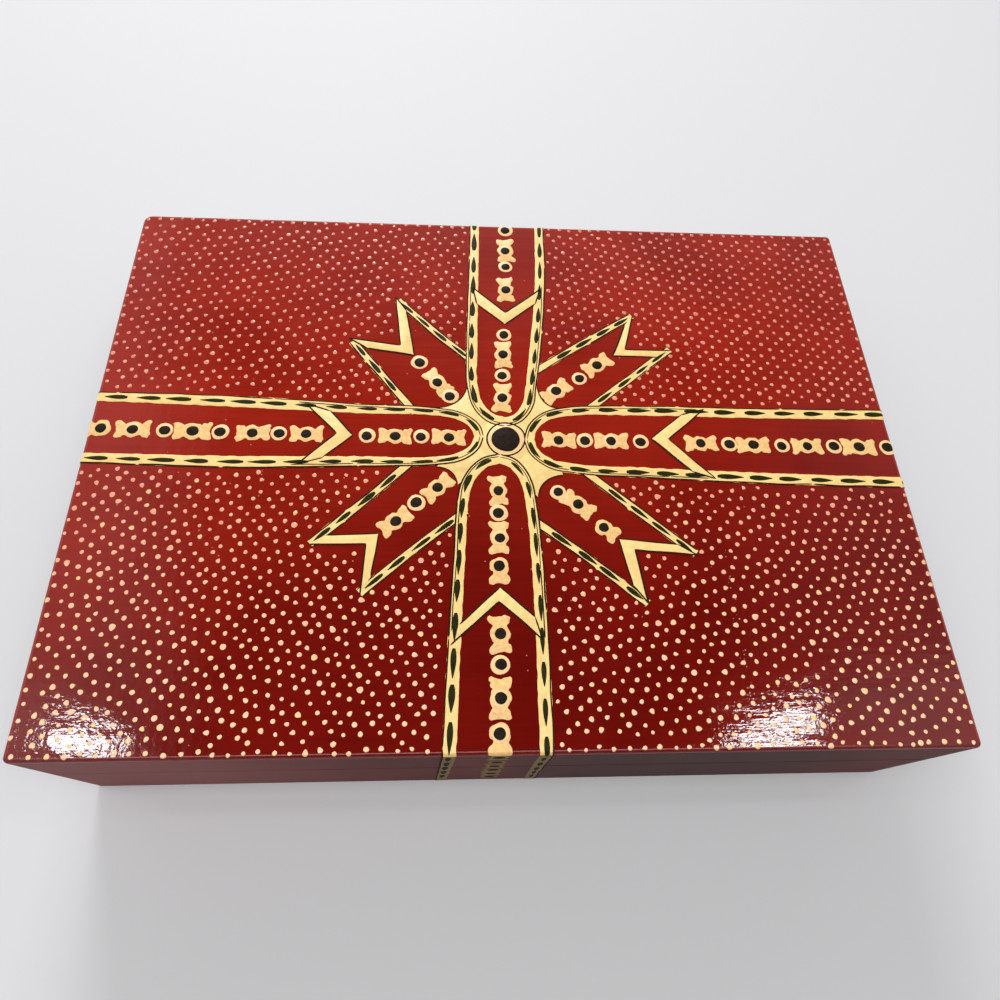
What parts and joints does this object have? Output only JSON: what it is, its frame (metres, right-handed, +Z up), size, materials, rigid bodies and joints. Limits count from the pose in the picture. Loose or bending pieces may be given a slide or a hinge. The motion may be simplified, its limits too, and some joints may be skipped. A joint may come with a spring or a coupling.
{
  "type": "hinged storage box",
  "caption": "Flat rectangular wooden storage box with a hinged lid, red lacquer, a painted ribbon cross and a field of small gold dots.",
  "frame": {"origin": "middle of the underside, in the plane the box rests on", "axes": "+X to the right along the long side, +Y to the back where the hinges are, +Z up through the lid"},
  "size_m": [0.254, 0.187, 0.057],
  "materials": {
    "lacquered_wood": "glossy red lacquer with hand-painted gold and black ornament",
    "bottom_wood": "thin black paint over wood",
    "hinge_brass": "lightly tarnished brass",
    "nail_steel": "plain steel brads"
  },
  "bodies": {
    "base": {"base_front_board": "lacquered_wood", "base_back_board": "lacquered_wood", "base_left_board": "lacquered_wood", "base_right_board": "lacquered_wood", "base_bottom_panel": "bottom_wood", "base_corner_nails": "nail_steel", "base_bottom_nails": "nail_steel", "hinge_left_base_leaf": "hinge_brass", "hinge_right_base_leaf": "hinge_brass", "hinge_left_pin": "hinge_brass", "hinge_right_pin": "hinge_brass", "hinge_left_base_screws": "hinge_brass", "hinge_right_base_screws": "hinge_brass"},
    "lid": {"lid_top_panel": "lacquered_wood", "lid_front_rail": "lacquered_wood", "lid_back_rail": "lacquered_wood", "lid_left_rail": "lacquered_wood", "lid_right_rail": "lacquered_wood", "lid_corner_nails": "nail_steel", "lid_top_nails": "nail_steel", "hinge_left_lid_leaf": "hinge_brass", "hinge_right_lid_leaf": "hinge_brass", "hinge_left_lid_screws": "hinge_brass", "hinge_right_lid_screws": "hinge_brass"}
  },
  "joints": [
    {"name": "lid_hinge", "type": "hinge", "parent": "base", "child": "lid", "pos_m": [0, 0.0911, 0.03315], "axis": [-1, 0, 0], "range_deg": [0, 100]}
  ]
}
